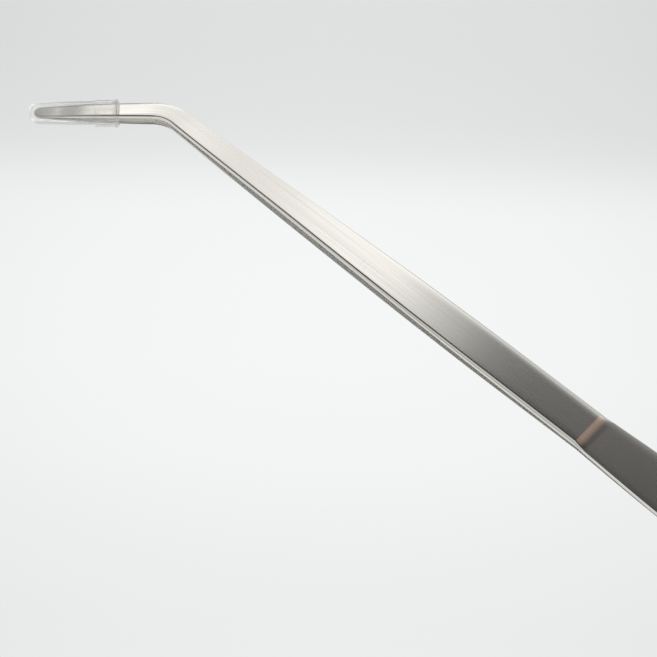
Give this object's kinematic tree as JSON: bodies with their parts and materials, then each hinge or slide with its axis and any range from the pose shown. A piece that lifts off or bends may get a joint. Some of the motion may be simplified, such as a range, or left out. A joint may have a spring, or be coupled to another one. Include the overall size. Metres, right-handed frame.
{
  "type": "angled tweezers with tip cap",
  "caption": "Long steel tweezers, bent edgewise near the tips, with bevelled arms, thin spring leaves welded at the tail, and a clear slip-on cap that holds the tips closed.",
  "frame": {"origin": "below the middle of the whole outline, at the height of the lowest point (the cap's flange)", "axes": "+X along the long straight arms towards the welded tail, +Z square to the arms' broad faces, towards the upper arm, +Y away from the side that the tips bend to"},
  "size_m": [0.2898, 0.0448, 0.0098],
  "materials": {
    "satin_steel": "satin broad faces with a fine lengthwise grain, brighter bevels and edges",
    "weld_steel": "as welded",
    "clear_plastic": "clear, glossy, slightly soft"
  },
  "bodies": {
    "tail": {"upper_arm_tail": "satin_steel", "lower_arm_tail": "satin_steel", "front_weld_nugget": "weld_steel", "rear_weld_nugget": "weld_steel"},
    "upper_arm": {"upper_arm_blade": "satin_steel"},
    "lower_arm": {"lower_arm_blade": "satin_steel"},
    "cap": {"tip_cap": "clear_plastic"}
  },
  "joints": [
    {"name": "upper_arm_flex", "type": "hinge", "parent": "tail", "child": "upper_arm", "pos_m": [0.10792, 0.01333, 0.00553], "axis": [0, 1, 0], "range_deg": [0, 2.5], "stiffness_Nm_per_rad": 6, "springref_deg": 3.72},
    {"name": "lower_arm_flex", "type": "hinge", "parent": "tail", "child": "lower_arm", "pos_m": [0.10792, 0.01333, 0.00423], "axis": [0, -1, 0], "range_deg": [0, 2.5], "stiffness_Nm_per_rad": 6, "springref_deg": 3.72},
    {"name": "cap_slide", "type": "slide", "parent": "tail", "child": "cap", "axis": [-0.7193, -0.6947, 0], "range_m": [0, 0.11]}
  ],
  "couplings": [
    {"joint": "lower_arm_flex", "follows": "upper_arm_flex", "ratio": 1},
    {"joint": "cap_slide", "follows": "upper_arm_flex", "m_per_rad": 2.52}
  ]
}
